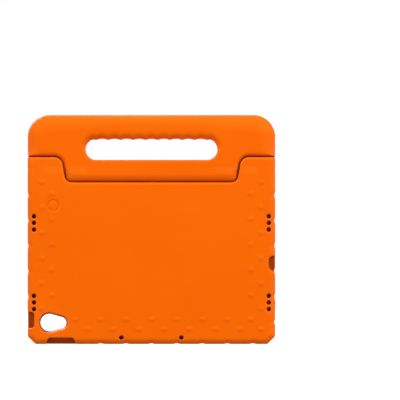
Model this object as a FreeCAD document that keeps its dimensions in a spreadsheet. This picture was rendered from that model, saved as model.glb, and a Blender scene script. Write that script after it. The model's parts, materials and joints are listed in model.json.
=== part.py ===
"""Moulded foam tablet case with a folding carry handle, as an assembly of separate pieces.

Frame: +Z up, the screen side faces -Y and the camera side faces +Y. The origin is at the
bottom centre of the bounding box. Lengths are in millimetres.
"""
import FreeCAD, Part
import math
import os
import Sketcher

# Driving dimensions: alias, millimetres, meaning.
DIMENSIONS = [
    ("case_width", 274.8, "width over both side walls"),
    ("case_height", 254.2, "height to the top of the raised handle"),
    ("front_face", 12.5, "screen face, in front of the origin"),
    ("back_face", 11.8, "camera face, behind the origin"),
    ("corner_chamfer", 8.5, "45 degree cut at the bottom corners"),
    ("back_round", 8.5, "rounding of the outer edge on the camera face"),
    ("front_round", 4.3, "rounding of the outer edge on the screen face"),
    ("seam_round", 5.0, "rounding of the edges along the seam"),
    ("seam_gap", 1.0, "clear gap between handle and case"),
    ("seam_lean", 0.12, "rise of the seam for each millimetre towards the camera face"),
    ("wall_lean", 0.14, "inward run of the side seam for each of those millimetres"),
    ("pivot_up", 193.2, "height of the handle's axis"),
    ("pivot_inset", 5.0, "axis to the camera face"),
    ("ear_rise", 14.8, "axis to the seam over the ears"),
    ("block_drop", 13.2, "axis to the seam under the handle"),
    ("seam_half", 97.2, "centre to the side seam, level with the axis"),
    ("seam_slant", 0.16, "outward run of the side seam for each millimetre of rise"),
    ("ear_corner", 9.0, "seam radius over the ear"),
    ("valley_corner", 5.5, "seam radius beside the valley"),
    ("tablet_width", 258.4, "width of the tablet pocket"),
    ("tablet_height", 163.0, "height of the tablet pocket"),
    ("tablet_depth", 7.5, "depth of the tablet pocket"),
    ("tablet_up", 8.7, "bottom wall under the pocket"),
    ("lip_depth", 7.0, "thickness of the lip round the screen"),
    ("window_half", 125.0, "half width of the screen window"),
    ("window_low", 12.9, "bottom of the screen window"),
    ("window_high", 167.1, "top of the screen window"),
    ("window_corner", 1.5, "corner radius of the screen window"),
    ("lip_round", 3.5, "rounding of the lip's inner edge"),
    ("lens_across", 113.6, "centre to the wide end of the camera window"),
    ("lens_up", 23.8, "height of the camera window"),
    ("lens_wide", 10.7, "radius of its wide end"),
    ("lens_pitch", 12.5, "wide end to narrow end"),
    ("lens_narrow", 7.5, "radius of its narrow end"),
    ("volume_mid", 100.4, "centre of the volume button notch"),
    ("volume_half", 16.4, "half width at its mouth"),
    ("volume_taper", 3.2, "narrowing from mouth to floor"),
    ("volume_deep", 7.3, "depth from the bottom edge"),
    ("power_low", 17.7, "bottom of the power button notch"),
    ("power_high", 35.6, "top of the power button notch"),
    ("port_low", 81.3, "bottom of the charging port notch"),
    ("port_high", 97.6, "top of the charging port notch"),
    ("notch_deep", 7.6, "depth of the side notches"),
    ("notch_round", 3.6, "corner radius of the notches"),
    ("breach", 2.0, "inset of the opening between notch and pocket"),
    ("sound_hole", 2.3, "radius of the speaker and microphone holes"),
    ("sound_pitch", 7.4, "spacing of the speaker holes"),
    ("speaker_across", 130.4, "centre to the speaker holes"),
    ("speaker_rise", 44.1, "pocket centre to each group of speaker holes"),
    ("mic_across", 33.2, "centre to the microphone holes"),
    ("mic_up", 7.3, "height of the microphone holes"),
    ("flute_radius", 8.9, "radius of the edge flutes"),
    ("flute_deep", 0.9, "depth of the edge flutes"),
    ("grip_pitch", 28.1, "spacing of the flutes and of the grip bumps"),
    ("flute_side_top", 165.1, "height of the top flute on the sides"),
    ("bump_wide", 4.0, "half width of a grip bump"),
    ("bump_tall", 3.0, "half height of a grip bump"),
    ("bump_rise", 0.7, "how far a bump stands out"),
    ("outer_column", 121.3, "centre to the outer columns of bumps"),
    ("outer_column_top", 180.0, "height of their top bump"),
    ("inner_column", 110.3, "centre to the inner columns of bumps"),
    ("inner_column_top", 167.1, "height of their top bump"),
    ("inner_row", 27.6, "height of the inner row of bumps"),
    ("outer_row", 16.9, "height of the outer row of bumps"),
    ("gate_across", 108.9, "centre to the moulding gate mark"),
    ("gate_up", 154.0, "height of the gate mark"),
    ("gate_radius", 6.2, "radius of the gate mark"),
    ("gate_ring", 0.8, "width of its ring"),
    ("gate_deep", 0.4, "depth of its ring"),
    ("handle_corner", 24.5, "radius of the handle's top corners"),
    ("handle_round", 11.0, "rounding of the handle's outer edges"),
    ("slot_half", 73.2, "half length of the finger slot"),
    ("slot_up", 216.0, "height of the slot's centre"),
    ("slot_radius", 11.7, "radius of the slot's ends"),
    ("finger_deep", 1.1, "depth of the finger grooves"),
    ("pin_radius", 2.0, "radius of the hinge pins"),
    ("pin_start", 76.0, "centre to the pin's inner end"),
    ("pin_stop", 113.0, "centre to the pin's outer end"),
    ("pin_bevel", 0.5, "bevel of the pin's ends"),
    ("pin_play", 0.05, "radial clearance of the running fit"),
    ("foam_play", 0.3, "radial clearance of the pin in the foam"),
    ("bush_start", 99.5, "centre to the mouth of the ear bush"),
    ("bush_stop", 118.0, "centre to its closed end"),
    ("bush_radius", 3.4, "outside radius of the ear bush"),
    ("bush_cap", 2.0, "thickness of the closed end"),
    ("collar_radius", 4.2, "radius of the bush's holding collars"),
    ("collar_width", 1.6, "width of a collar"),
    ("collar_start", 4.0, "mouth of the bush to its first collar"),
    ("collar_pitch", 8.0, "spacing of the collars"),
    ("ring_width", 2.4, "width of the friction ring"),
    ("ring_radius", 2.8, "outside radius of the friction ring"),
    ("anchor_start", 73.0, "centre to the anchor's inner end"),
    ("anchor_stop", 93.0, "centre to the anchor's mouth"),
    ("anchor_radius", 3.6, "outside radius of the anchor's barrel"),
    ("paddle_start", 77.0, "centre to the anchor's paddle"),
    ("paddle_stop", 92.0, "centre to the paddle's outer edge"),
    ("paddle_rise", 27.0, "axis to the top of the paddle"),
    ("paddle_root", 1.0, "how far the paddle is sunk into the barrel"),
    ("paddle_thick", 3.0, "thickness of the paddle"),
    ("paddle_corner", 3.0, "radius of the paddle's top corners"),
    ("key_radius", 2.6, "radius of the holes that key the foam"),
    ("key_pitch", 9.0, "spacing of those holes"),
]

SHEET_NAME = "sizes"
SIDES = {"right": 1, "left": -1}
FINGER_GROOVES = 9
BOTTOM_RUN = 7  # flutes, and bumps in a row, along the bottom
SIDE_FLUTES = {"right": 5, "left": 6}
OUTER_COLUMN_BUMPS = 6
INNER_COLUMN_BUMPS = 5
OVERRUN = 1  # how far a cut starts outside the foam
SEAM_OVERRUN = 5  # how far the seam's cut starts outside the piece
BORE_OVERRUN = 5  # how far a pin's bore runs past the side seam
SEARCH = 0.6  # how near an edge must lie to the place it is looked for
ON_FACE = 0.01  # how near an edge must lie to the face it is part of


class Size:
    """A length that carries its value and the sheet expression it comes from."""

    def __init__(self, value, text):
        self.value = value
        self.text = text

    def __add__(self, other):
        other = as_size(other)
        return Size(self.value + other.value, f"({self.text} + {other.text})")

    def __sub__(self, other):
        other = as_size(other)
        return Size(self.value - other.value, f"({self.text} - {other.text})")

    def __mul__(self, other):
        other = as_size(other)
        return Size(self.value * other.value, f"({self.text} * {other.text})")

    def __truediv__(self, other):
        other = as_size(other)
        return Size(self.value / other.value, f"({self.text} / {other.text})")

    def __neg__(self):
        return self * -1


def as_size(number):
    """Wrap a plain number so that it can stand beside sheet sizes."""
    if isinstance(number, Size):
        return number
    return Size(float(number), f"({number})")


class Sizes:
    """Every driving dimension as an attribute."""


def make_sheet(doc):
    """Write the driving dimensions into a sheet and return them as sizes."""
    sheet = doc.addObject("Spreadsheet::Sheet", SHEET_NAME)
    sizes = Sizes()
    for row, (alias, value, meaning) in enumerate(DIMENSIONS, start=1):
        sheet.set(f"A{row}", meaning)
        sheet.set(f"B{row}", str(value))
        sheet.setAlias(f"B{row}", alias)
        setattr(sizes, alias, Size(value, f"{SHEET_NAME}.{alias}"))
    doc.recompute()
    return sizes


def bind(item, prop, size):
    """Drive one property of an object from the sheet."""
    item.setExpression(prop, as_size(size).text)


def origin_item(body, role):
    """One of a body's own origin planes or axes."""
    return next(item for item in body.Origin.OriginFeatures if item.Role == role)


def sketch_at(body, name, depth, rise=None):
    """A sketch in the body's XZ plane moved to Y = depth; its Y is the row's +Z."""
    sketch = body.newObject("Sketcher::SketchObject", name)
    sketch.AttachmentSupport = [(origin_item(body, "XZ_Plane"), "")]
    sketch.MapMode = "FlatFace"
    bind(sketch, "AttachmentOffset.Base.z", -as_size(depth))
    if rise is not None:
        bind(sketch, "AttachmentOffset.Base.y", rise)
    return sketch


def hold(sketch, kind, size, *where):
    """Add a dimension to a sketch and drive it from the sheet."""
    index = sketch.addConstraint(Sketcher.Constraint(kind, *where, size.value))
    sketch.setExpression(f"Constraints[{index}]", size.text)


def hold_point(sketch, line, end, across, up):
    """Fix a point by its distances from the sketch's origin."""
    for kind, axis, size in (("DistanceX", -2, as_size(across)), ("DistanceY", -1, as_size(up))):
        if size.value:
            hold(sketch, kind, size, -1, 1, line, end)
        else:
            sketch.addConstraint(Sketcher.Constraint("PointOnObject", line, end, axis))


def polygon(sketch, corners):
    """Draw a closed outline through corners given as (across, up) sizes."""
    first = sketch.GeometryCount
    spots = [FreeCAD.Vector(as_size(a).value, as_size(u).value, 0) for a, u in corners]
    count = len(spots)
    for index in range(count):
        sketch.addGeometry(Part.LineSegment(spots[index], spots[(index + 1) % count]), False)
    for index, (across, up) in enumerate(corners):
        after = first + (index + 1) % count
        sketch.addConstraint(Sketcher.Constraint("Coincident", first + index, 2, after, 1))
        hold_point(sketch, first + index, 1, across, up)


def rectangle(sketch, low_across, low_up, high_across, high_up):
    """Draw a rectangle from its two opposite corners."""
    polygon(sketch, [(low_across, low_up), (high_across, low_up),
                     (high_across, high_up), (low_across, high_up)])


def circle(sketch, across, up, radius):
    """Draw a circle fixed by its centre and radius."""
    across, up = as_size(across), as_size(up)
    centre = FreeCAD.Vector(across.value, up.value, 0)
    shape = Part.Circle(centre, FreeCAD.Vector(0, 0, 1), radius.value)
    index = sketch.addGeometry(shape, False)
    hold_point(sketch, index, 3, across, up)
    hold(sketch, "Radius", radius, index)


def teardrop(sketch, across, up, wide, pitch, narrow):
    """Draw two arcs joined by their common tangents, the narrow one nearer the centre."""
    lean = math.acos((wide.value - narrow.value) / pitch.value)
    big = FreeCAD.Vector(across.value, up.value, 0)
    small = FreeCAD.Vector(across.value - pitch.value, up.value, 0)
    normal = FreeCAD.Vector(0, 0, 1)

    def rim(centre, radius, turn):
        return centre + FreeCAD.Vector(math.cos(turn), math.sin(turn), 0) * radius

    over, under = math.pi - lean, lean - math.pi
    sketch.addGeometry(Part.ArcOfCircle(Part.Circle(big, normal, wide.value), under, over))
    sketch.addGeometry(
        Part.ArcOfCircle(Part.Circle(small, normal, narrow.value), over, under + 2 * math.pi))
    sketch.addGeometry(
        Part.LineSegment(rim(big, wide.value, over), rim(small, narrow.value, over)))
    sketch.addGeometry(
        Part.LineSegment(rim(small, narrow.value, under), rim(big, wide.value, under)))
    for first, end, second, start in ((0, 2, 2, 1), (2, 2, 1, 1), (1, 2, 3, 1), (3, 2, 0, 1)):
        sketch.addConstraint(Sketcher.Constraint("Tangent", first, end, second, start))
    hold_point(sketch, 0, 3, across, up)
    hold_point(sketch, 1, 3, across - pitch, up)
    hold(sketch, "Radius", wide, 0)
    hold(sketch, "Radius", narrow, 1)


def slot_outline(sketch, flat, up, radius, crest):
    """Draw a stadium whose upper edge is lowered to a crest between its round ends."""
    for side, start in ((1, -math.pi / 2), (-1, math.pi / 2)):
        centre = FreeCAD.Vector(flat.value * side, up.value, 0)
        rim = Part.Circle(centre, FreeCAD.Vector(0, 0, 1), radius.value)
        sketch.addGeometry(Part.ArcOfCircle(rim, start, start + math.pi))
    high, low = up + radius, up - radius
    for start, stop in (((flat, high), (flat, crest)), ((flat, crest), (-flat, crest)),
                        ((-flat, crest), (-flat, high)), ((-flat, low), (flat, low))):
        ends = [FreeCAD.Vector(across.value, rise.value, 0) for across, rise in (start, stop)]
        sketch.addGeometry(Part.LineSegment(*ends))
    for first, second in ((0, 2), (2, 3), (3, 4), (4, 1), (1, 5), (5, 0)):
        sketch.addConstraint(Sketcher.Constraint("Coincident", first, 2, second, 1))
    for index, side in ((0, 1), (1, -1)):
        hold_point(sketch, index, 3, flat * side, up)
        hold(sketch, "Radius", radius, index)
        for end in (1, 2):
            hold(sketch, "DistanceX", flat * side, -1, 1, index, end)
    hold_point(sketch, 3, 1, flat, crest)
    hold_point(sketch, 3, 2, -flat, crest)


def segment(sketch, chord_up, half_chord, depth):
    """Draw a shallow circular segment that bulges up from its chord."""
    radius = (half_chord * half_chord + depth * depth) / (depth * 2)
    centre_up = chord_up + depth - radius
    centre = FreeCAD.Vector(0, centre_up.value, 0)
    turn = math.asin(half_chord.value / radius.value)
    rim = Part.Circle(centre, FreeCAD.Vector(0, 0, 1), radius.value)
    sketch.addGeometry(Part.ArcOfCircle(rim, math.pi / 2 - turn, math.pi / 2 + turn))
    left = FreeCAD.Vector(-half_chord.value, chord_up.value, 0)
    right = FreeCAD.Vector(half_chord.value, chord_up.value, 0)
    sketch.addGeometry(Part.LineSegment(left, right))
    sketch.addConstraint(Sketcher.Constraint("Coincident", 0, 2, 1, 1))
    sketch.addConstraint(Sketcher.Constraint("Coincident", 1, 2, 0, 1))
    hold_point(sketch, 1, 1, -half_chord, chord_up)
    hold_point(sketch, 1, 2, half_chord, chord_up)
    hold(sketch, "Radius", radius, 0)


def finish_step(body, feature, grows):
    """Make a feature the body's tip, recompute it and check that it did its work."""
    before = body.Tip.Shape.Volume if body.Tip is not None and body.Tip != feature else 0.0
    body.Tip = feature
    body.Document.recompute()
    change = feature.Shape.Volume - before
    if not feature.Shape.isValid() or (change > 0) != grows:
        raise RuntimeError(f"{body.Label}: {feature.Label} changed the volume by {change:.1f}")
    return feature


def add_step(body, kind, name):
    """Add a feature without letting it become the tip before it is complete."""
    tip = body.Tip
    feature = body.newObject(kind, name)
    if tip is not None:
        body.Tip = tip
    return feature


def pad(body, name, front, back, draw):
    """Add material between two depths along Y."""
    sketch = sketch_at(body, name + "_outline", back)
    draw(sketch)
    feature = add_step(body, "PartDesign::Pad", name)
    feature.Profile = sketch
    bind(feature, "Length", as_size(back) - front)
    return finish_step(body, feature, grows=True)


def cut(body, name, front, back, draw, drift=None):
    """Take material away between two depths, along Y or drifting (across, up) from it."""
    sketch = sketch_at(body, name + "_outline", front)
    draw(sketch)
    feature = add_step(body, "PartDesign::Pocket", name)
    feature.Profile = sketch
    bind(feature, "Length", as_size(back) - front)
    if drift is not None:
        feature.UseCustomVector = True
        feature.AlongSketchNormal = True
        feature.Direction = FreeCAD.Vector(drift[0].value, 1, drift[1].value)
        bind(feature, "Direction.x", drift[0])
        bind(feature, "Direction.z", drift[1])
    return finish_step(body, feature, grows=False)


def repeat(body, feature, name, role, pitch, count, grows, backward=False):
    """Repeat a feature in a straight line along one of the body's axes."""
    pattern = add_step(body, "PartDesign::LinearPattern", name)
    pattern.Originals = [feature]
    pattern.Direction = (origin_item(body, role), [""])
    pattern.Reversed = backward
    pattern.Occurrences = count
    bind(pattern, "Length", pitch * (count - 1))
    return finish_step(body, pattern, grows)


def round_edges(body, name, radius, wanted):
    """Round the edges of the tip whose middle point is wanted."""
    names = []
    for index, edge in enumerate(body.Tip.Shape.Edges, start=1):
        middle = edge.valueAt((edge.FirstParameter + edge.LastParameter) / 2)
        if wanted(middle, edge):
            names.append(f"Edge{index}")
    feature = add_step(body, "PartDesign::Fillet", name)
    feature.Base = (body.Tip, names)
    bind(feature, "Radius", radius)
    before = body.Tip.Shape.Volume
    body.Tip = feature
    body.Document.recompute()
    if not feature.Shape.isValid() or abs(feature.Shape.Volume - before) < SEARCH:
        raise RuntimeError(f"{body.Label}: {feature.Label} rounded nothing")
    return feature


def runs_along_depth(edge):
    """Whether an edge is straight and lies along Y."""
    start, stop = edge.firstVertex().Point, edge.lastVertex().Point
    reach = stop - start
    return abs(reach.y) > SEARCH and abs(reach.x) < SEARCH and abs(reach.z) < SEARCH


def depth_edges(*spots):
    """A test for edges along Y at any of the given (across, up) spots."""
    def wanted(middle, edge):
        near = any(abs(middle.x - as_size(a).value) < SEARCH
                   and abs(middle.z - as_size(u).value) < SEARCH for a, u in spots)
        return near and runs_along_depth(edge)
    return wanted


def seam_spots(sizes, inward, depth):
    """The seam's ear and valley corners at one depth, each as (across, up), on the right.

    They lie on the handle's side of the seam (1) or on the case's side (-1).
    """
    behind = depth - axis_depth(sizes)
    lift, draw_in = sizes.seam_lean * behind, sizes.wall_lean * behind
    shift = sizes.seam_gap / 2 * inward
    stretch = Size(math.hypot(1, sizes.seam_slant.value), f"sqrt(1 + {sizes.seam_slant.text}^2)")
    spots = []
    for rise in (sizes.ear_rise + shift, shift - sizes.block_drop):
        across = sizes.seam_half + sizes.seam_slant * rise - shift * stretch
        spots.append((across - draw_in, sizes.pivot_up + rise + lift))
    return spots


def axis_depth(sizes):
    """Depth of the handle's axis."""
    return sizes.back_face - sizes.pivot_inset


def cut_seam(body, sizes, inward, beyond):
    """Trim a piece along the seam, from the height beyond it, and round the seam's corners.

    The seam leans so that the handle is larger towards the screen face, and no light passes.
    """
    front, back = -sizes.front_face, sizes.back_face
    (ear, ear_up), (valley, valley_up) = seam_spots(sizes, inward, front)
    out = sizes.case_width / 2 + SEAM_OVERRUN
    inner = as_size(-SEAM_OVERRUN)
    for name, side in SIDES.items():
        corners = [(inner, valley_up), (valley, valley_up), (ear, ear_up), (out, ear_up),
                   (out, beyond), (inner, beyond)]
        cut(body, "seam_" + name, front, back,
            lambda sketch: polygon(sketch, [(across * side, up) for across, up in corners]),
            (sizes.wall_lean * -side, sizes.seam_lean))
    offset = sizes.seam_gap / 2 * inward
    spots = seam_spots(sizes, inward, axis_depth(sizes))
    for name, radius, spot in (("ear", sizes.ear_corner + offset, spots[0]),
                               ("valley", sizes.valley_corner - offset, spots[1])):
        round_edges(body, name + "_corners", radius, leaning_edges(sizes, spot))
    round_edges(body, "seam_edges", sizes.seam_round, seam_loop(sizes, valley_up, ear_up))


def leaning_edges(sizes, spot):
    """A test for the pair of edges from face to face that pass a spot level with the axis."""
    across, up = spot[0].value, spot[1].value

    def wanted(middle, edge):
        start, stop = edge.firstVertex().Point, edge.lastVertex().Point
        if abs(stop.y - start.y) < SEARCH:
            return False
        level = start + (stop - start) * ((axis_depth(sizes).value - start.y) / (stop.y - start.y))
        return abs(abs(level.x) - across) < SEARCH and abs(level.z - up) < SEARCH
    return wanted


def seam_loop(sizes, valley_up, ear_up):
    """A test for the edges where the seam's faces meet the front and back faces."""
    front, back = -sizes.front_face.value, sizes.back_face.value
    low, high = valley_up.value - SEARCH, ear_up.value + SEAM_OVERRUN

    def wanted(middle, edge):
        on_face = min(abs(middle.y - front), abs(middle.y - back)) < ON_FACE
        return on_face and low < middle.z < high
    return wanted


def case_outline(sizes, top):
    """The case's outer outline, a rectangle with its bottom corners cut at 45 degrees."""
    half = sizes.case_width / 2
    flat = half - sizes.corner_chamfer

    def draw(sketch):
        polygon(sketch, [(-flat, 0), (flat, 0), (half, sizes.corner_chamfer), (half, top),
                         (-half, top), (-half, sizes.corner_chamfer)])
    return draw


def outer_loop(sizes, face, skip_up):
    """A test for the outer edges on one face, apart from those at one height."""
    def wanted(middle, edge):
        on_face = abs(middle.y - face) < ON_FACE
        return on_face and abs(middle.z - skip_up.value) > SEARCH
    return wanted


def make_case_moulding(doc, sizes):
    """The foam shell before its bushes are moulded in."""
    body = doc.addObject("PartDesign::Body", "case_moulding")
    front, back = -sizes.front_face, sizes.back_face
    top = sizes.pivot_up + sizes.ear_rise + SEAM_OVERRUN
    pad(body, "slab", front, back, case_outline(sizes, top))
    round_edges(body, "back_edge", sizes.back_round, outer_loop(sizes, back.value, top))
    round_edges(body, "front_edge", sizes.front_round, outer_loop(sizes, front.value, top))
    cut_seam(body, sizes, -1, top + SEAM_OVERRUN)
    cut_tablet_space(body, sizes)
    cut_camera_window(body, sizes)
    cut_notches(body, sizes)
    cut_sound_holes(body, sizes)
    cut_gate_mark(body, sizes)
    cut_flutes(body, sizes)
    add_bumps(body, sizes)
    return body


def cut_tablet_space(body, sizes):
    """The pocket that holds the tablet and the window in front of its screen."""
    lip = -sizes.front_face + sizes.lip_depth
    half, low = sizes.tablet_width / 2, sizes.tablet_up
    high = low + sizes.tablet_height
    cut(body, "tablet_pocket", lip, lip + sizes.tablet_depth,
        lambda sketch: rectangle(sketch, -half, low, half, high))
    wide, low, high = sizes.window_half, sizes.window_low, sizes.window_high
    cut(body, "screen_window", -sizes.front_face - OVERRUN, lip + OVERRUN,
        lambda sketch: rectangle(sketch, -wide, low, wide, high))
    round_edges(body, "window_corners", sizes.window_corner,
                depth_edges((wide, low), (wide, high), (-wide, low), (-wide, high)))
    front = -sizes.front_face.value

    def inner_edge(middle, edge):
        inside = abs(middle.x) < wide.value + ON_FACE
        level = low.value - ON_FACE < middle.z < high.value + ON_FACE
        return abs(middle.y - front) < ON_FACE and inside and level
    round_edges(body, "lip_edge", sizes.lip_round, inner_edge)


def pocket_floor(sizes):
    """Depth of the pocket's floor, where the back panel starts."""
    return -sizes.front_face + sizes.lip_depth + sizes.tablet_depth


def cut_camera_window(body, sizes):
    """The teardrop window in the back panel for the rear camera."""
    cut(body, "camera_window", pocket_floor(sizes) - OVERRUN, sizes.back_face + OVERRUN,
        lambda sketch: teardrop(sketch, sizes.lens_across, sizes.lens_up, sizes.lens_wide,
                                sizes.lens_pitch, sizes.lens_narrow))


def cut_notches(body, sizes):
    """Notches from the camera side down to the lip, each open to the tablet's edge."""
    lip = -sizes.front_face + sizes.lip_depth
    floor, over = pocket_floor(sizes), sizes.back_face + OVERRUN
    half, deep = sizes.case_width / 2, sizes.notch_deep
    mid, mouth = sizes.volume_mid, sizes.volume_half
    narrow, rise = mouth - sizes.volume_taper, sizes.volume_deep
    cut(body, "volume_notch", lip, over,
        lambda sketch: polygon(sketch, [(mid - mouth, -OVERRUN), (mid + mouth, -OVERRUN),
                                        (mid + narrow, rise), (mid - narrow, rise)]))
    round_edges(body, "volume_corners", sizes.notch_round,
                depth_edges((mid - narrow, rise), (mid + narrow, rise)))
    inset = narrow - sizes.breach
    cut(body, "volume_breach", lip, floor,
        lambda sketch: rectangle(sketch, mid - inset, rise - OVERRUN, mid + inset,
                                 sizes.tablet_up + OVERRUN))
    for name, side, low, high in (("power", 1, sizes.power_low, sizes.power_high),
                                  ("port", -1, sizes.port_low, sizes.port_high)):
        inner, outer = (half - deep) * side, (half + OVERRUN) * side
        wall = sizes.tablet_width / 2 * side
        cut(body, name + "_notch", lip, over,
            lambda sketch: rectangle(sketch, inner, low, outer, high))
        round_edges(body, name + "_corners", sizes.notch_round,
                    depth_edges((inner, low), (inner, high)))
        cut(body, name + "_breach", lip, floor,
            lambda sketch: rectangle(sketch, wall - OVERRUN * side, low + sizes.breach,
                                     inner + OVERRUN * side, high - sizes.breach))


def cut_sound_holes(body, sizes):
    """Speaker and microphone holes that reach the tablet's edges."""
    middle = sizes.tablet_up + sizes.tablet_height / 2

    def draw(sketch):
        for side in SIDES.values():
            circle(sketch, sizes.mic_across * side, sizes.mic_up, sizes.sound_hole)
            for group in SIDES.values():
                for place in (-1, 0, 1):
                    up = middle + sizes.speaker_rise * group + sizes.sound_pitch * place
                    circle(sketch, sizes.speaker_across * side, up, sizes.sound_hole)
    cut(body, "sound_holes", pocket_floor(sizes) - sizes.tablet_depth / 2,
        sizes.back_face + OVERRUN, draw)


def cut_gate_mark(body, sizes):
    """The shallow ring left by the mould's gate."""
    def draw(sketch):
        circle(sketch, sizes.gate_across, sizes.gate_up, sizes.gate_radius)
        circle(sketch, sizes.gate_across, sizes.gate_up, sizes.gate_radius - sizes.gate_ring)
    cut(body, "gate_mark", sizes.back_face - sizes.gate_deep, sizes.back_face + OVERRUN, draw)


def cut_flutes(body, sizes):
    """Shallow flutes across the bottom and side walls."""
    front, back = -sizes.front_face - OVERRUN, sizes.back_face + OVERRUN
    off = sizes.flute_radius - sizes.flute_deep
    flute = cut(body, "bottom_flute", front, back,
                lambda sketch: circle(sketch, sizes.grip_pitch * -4, -off, sizes.flute_radius))
    repeat(body, flute, "bottom_flutes", "X_Axis", sizes.grip_pitch, BOTTOM_RUN, grows=False)
    for name, count in SIDE_FLUTES.items():
        across = (sizes.case_width / 2 + off) * SIDES[name]
        flute = cut(body, name + "_flute", front, back,
                    lambda sketch: circle(sketch, across, sizes.flute_side_top,
                                          sizes.flute_radius))
        repeat(body, flute, name + "_flutes", "Z_Axis", sizes.grip_pitch, count, grows=False,
               backward=True)


def add_bump(body, name, sizes, across, up):
    """One low oval grip bump on the camera face."""
    bump = add_step(body, "PartDesign::AdditiveEllipsoid", name)
    bump.AttachmentSupport = [(origin_item(body, "XZ_Plane"), "")]
    bump.MapMode = "FlatFace"
    for prop, size in (("AttachmentOffset.Base.x", across), ("AttachmentOffset.Base.y", up),
                       ("AttachmentOffset.Base.z", -sizes.back_face),
                       ("Radius1", sizes.bump_rise), ("Radius2", sizes.bump_wide),
                       ("Radius3", sizes.bump_tall)):
        bind(bump, prop, size)
    return finish_step(body, bump, grows=True)


def add_bumps(body, sizes):
    """Columns of grip bumps beside the back panel and rows of them under it."""
    pitch = sizes.grip_pitch
    columns = (("outer", sizes.outer_column, sizes.outer_column_top, OUTER_COLUMN_BUMPS),
               ("inner", sizes.inner_column, sizes.inner_column_top, INNER_COLUMN_BUMPS))
    for side_name, side in SIDES.items():
        for name, across, top, count in columns:
            bump = add_bump(body, f"{name}_bump_{side_name}", sizes, across * side, top)
            repeat(body, bump, f"{name}_column_{side_name}", "Z_Axis", pitch, count,
                   grows=True, backward=True)
    rows = (("outer", pitch * -3.5, sizes.outer_row, sizes.outer_column),
            ("inner", pitch * -3, sizes.inner_row, sizes.inner_column))
    for name, start, up, corner in rows:
        bump = add_bump(body, f"{name}_row_bump", sizes, start, up)
        repeat(body, bump, f"{name}_row", "X_Axis", pitch, BOTTOM_RUN, grows=True)
        add_bump(body, f"{name}_corner_bump", sizes, -corner, up)


def make_handle_moulding(doc, sizes):
    """The foam handle before its anchors are moulded in."""
    body = doc.addObject("PartDesign::Body", "handle_moulding")
    front, back = -sizes.front_face, sizes.back_face
    half, top = sizes.case_width / 2, sizes.case_height
    low = sizes.pivot_up - sizes.block_drop - SEAM_OVERRUN
    pad(body, "grip", front, back, lambda sketch: rectangle(sketch, -half, low, half, top))
    round_edges(body, "top_corners", sizes.handle_corner, depth_edges((half, top), (-half, top)))
    for name, face in (("back", back.value), ("front", front.value)):
        round_edges(body, name + "_edge", sizes.handle_round, outer_loop(sizes, face, low))
    cut_seam(body, sizes, 1, low - SEAM_OVERRUN)
    cut_finger_slot(body, sizes)
    return body


def cut_finger_slot(body, sizes):
    """The finger slot, a stadium whose upper edge has a groove for each fingertip."""
    front, back = -sizes.front_face - OVERRUN, sizes.back_face + OVERRUN
    up, radius = sizes.slot_up, sizes.slot_radius
    flat = sizes.slot_half - radius
    crest, pitch = up + radius - sizes.finger_deep, flat * 2 / FINGER_GROOVES
    cut(body, "slot", front, back,
        lambda sketch: slot_outline(sketch, flat, up, radius, crest))
    groove = cut(body, "finger_groove", front, back,
                 lambda sketch: segment(sketch, crest, pitch / 2, sizes.finger_deep))
    half_count = (FINGER_GROOVES - 1) // 2 + 1
    repeat(body, groove, "finger_grooves_right", "X_Axis", pitch, half_count, grows=False)
    repeat(body, groove, "finger_grooves_left", "X_Axis", pitch, half_count, grows=False,
           backward=True)


def turned(doc, name, sizes, outline):
    """A body turned about the handle's axis from a half section of (across, radius)."""
    body = doc.addObject("PartDesign::Body", name)
    sketch = sketch_at(body, name + "_section", axis_depth(sizes), sizes.pivot_up)
    polygon(sketch, outline)
    feature = add_step(body, "PartDesign::Revolution", name + "_turning")
    feature.Profile = sketch
    feature.ReferenceAxis = (sketch, ["H_Axis"])
    feature.Angle = 360
    finish_step(body, feature, grows=True)
    return body


def make_pin(doc, name, side, sizes):
    """A steel pin with bevelled ends."""
    start, stop = sizes.pin_start, sizes.pin_stop
    radius, bevel = sizes.pin_radius, sizes.pin_bevel
    outline = [(start, 0), (start, radius - bevel), (start + bevel, radius),
               (stop - bevel, radius), (stop, radius - bevel), (stop, 0)]
    return turned(doc, name, sizes, [(across * side, up) for across, up in outline])


def make_bush(doc, name, side, sizes):
    """A blind nylon bush with two collars that hold it in the foam."""
    mouth, stop = sizes.bush_start, sizes.bush_stop
    outer, collar = sizes.bush_radius, sizes.collar_radius
    bore = sizes.pin_radius + sizes.pin_play
    seat, floor = mouth + sizes.ring_width, stop - sizes.bush_cap
    outline = [(mouth, sizes.ring_radius), (mouth, outer)]
    for place in (0, 1):
        near = mouth + sizes.collar_start + sizes.collar_pitch * place
        far = near + sizes.collar_width
        outline += [(near, outer), (near, collar), (far, collar), (far, outer)]
    outline += [(stop, outer), (stop, 0), (floor, 0), (floor, bore), (seat, bore),
                (seat, sizes.ring_radius)]
    return turned(doc, name, sizes, [(across * side, up) for across, up in outline])


def make_ring(doc, name, side, sizes):
    """The rubber ring in the mouth of the bush, which grips the pin."""
    mouth, seat = sizes.bush_start, sizes.bush_start + sizes.ring_width
    bore, outer = sizes.pin_radius + sizes.pin_play, sizes.ring_radius
    outline = [(mouth, bore), (mouth, outer), (seat, outer), (seat, bore)]
    return turned(doc, name, sizes, [(across * side, up) for across, up in outline])


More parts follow.
